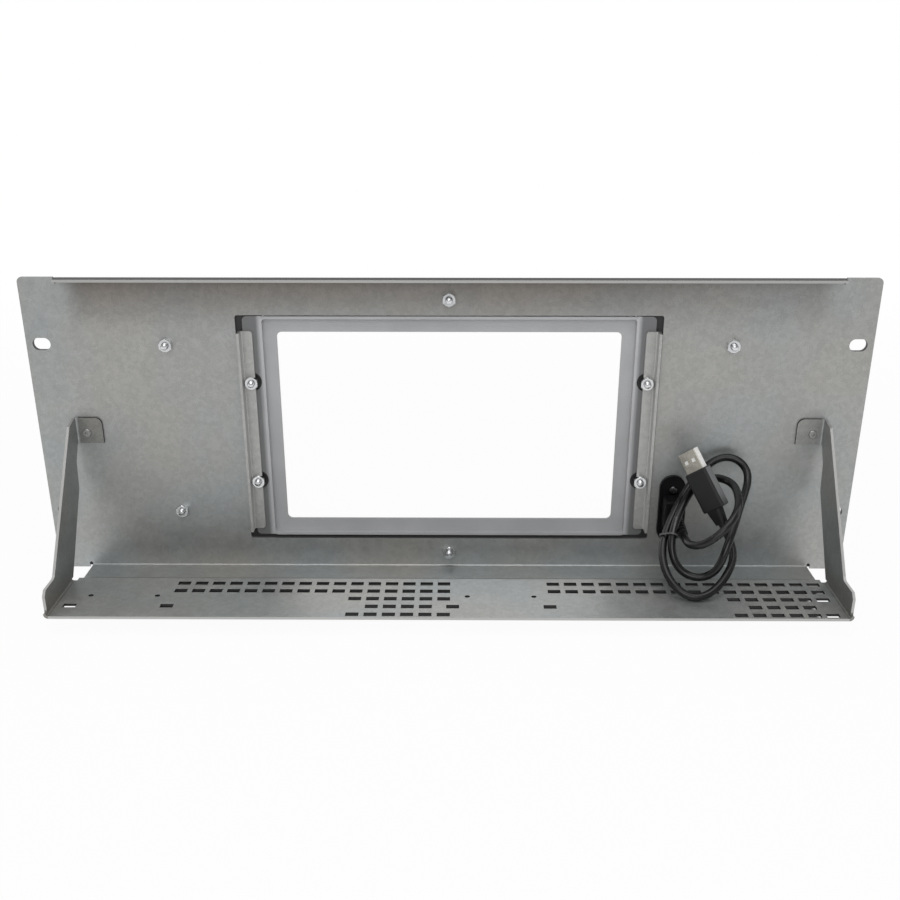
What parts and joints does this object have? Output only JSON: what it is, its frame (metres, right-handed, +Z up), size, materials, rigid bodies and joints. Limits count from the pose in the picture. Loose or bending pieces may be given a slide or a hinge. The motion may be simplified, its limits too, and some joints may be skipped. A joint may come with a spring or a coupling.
{
  "type": "rack monitor carrier",
  "caption": "Rack panel with display window, folded rear tray on gusset arms, clamped display bezel and panel socket with a looped lead and plug.",
  "frame": {"origin": "centre of the four rack slots, on the rear face of the ears that seats on the rack's rails", "axes": "+X right seen from behind, +Y to the rack's front, +Z up"},
  "size_m": [0.4826, 0.0947, 0.177],
  "materials": {
    "galvanised_sheet": "matt zinc spangle",
    "black_coated_sheet": "fine satin powder coat",
    "grey_moulding": "satin moulded",
    "zinc_fasteners": "bright zinc",
    "dark_fasteners": "blackened",
    "black_plastic": "matt moulded",
    "black_rubber": "satin jacket",
    "nickel_shell": "nickel plated",
    "connector_insulator": "moulded",
    "gold_contacts": "plated",
    "dark_tie": "satin coated wire"
  },
  "bodies": {
    "root": {"chassis_panel": "galvanised_sheet", "rear_tray": "galvanised_sheet", "clamp_left": "galvanised_sheet", "clamp_right": "galvanised_sheet", "front_fascia": "black_coated_sheet", "bezel_frame": "grey_moulding", "bezel_rim": "grey_moulding", "chassis_studs": "zinc_fasteners", "chassis_nuts": "zinc_fasteners", "clamp_studs": "zinc_fasteners", "clamp_nuts": "zinc_fasteners", "tab_rivets": "zinc_fasteners", "tray_rivets": "zinc_fasteners", "socket_screws": "dark_fasteners", "socket_housing": "black_plastic", "plug_overmould": "black_plastic", "usb_lead": "black_rubber", "socket_strain_relief": "black_rubber", "plug_strain_relief": "black_rubber", "socket_shell": "nickel_shell", "plug_shell": "nickel_shell", "socket_tongue": "connector_insulator", "plug_tongue": "connector_insulator", "socket_contacts": "gold_contacts", "plug_contacts": "gold_contacts", "lead_tie": "dark_tie"}
  },
  "joints": []
}
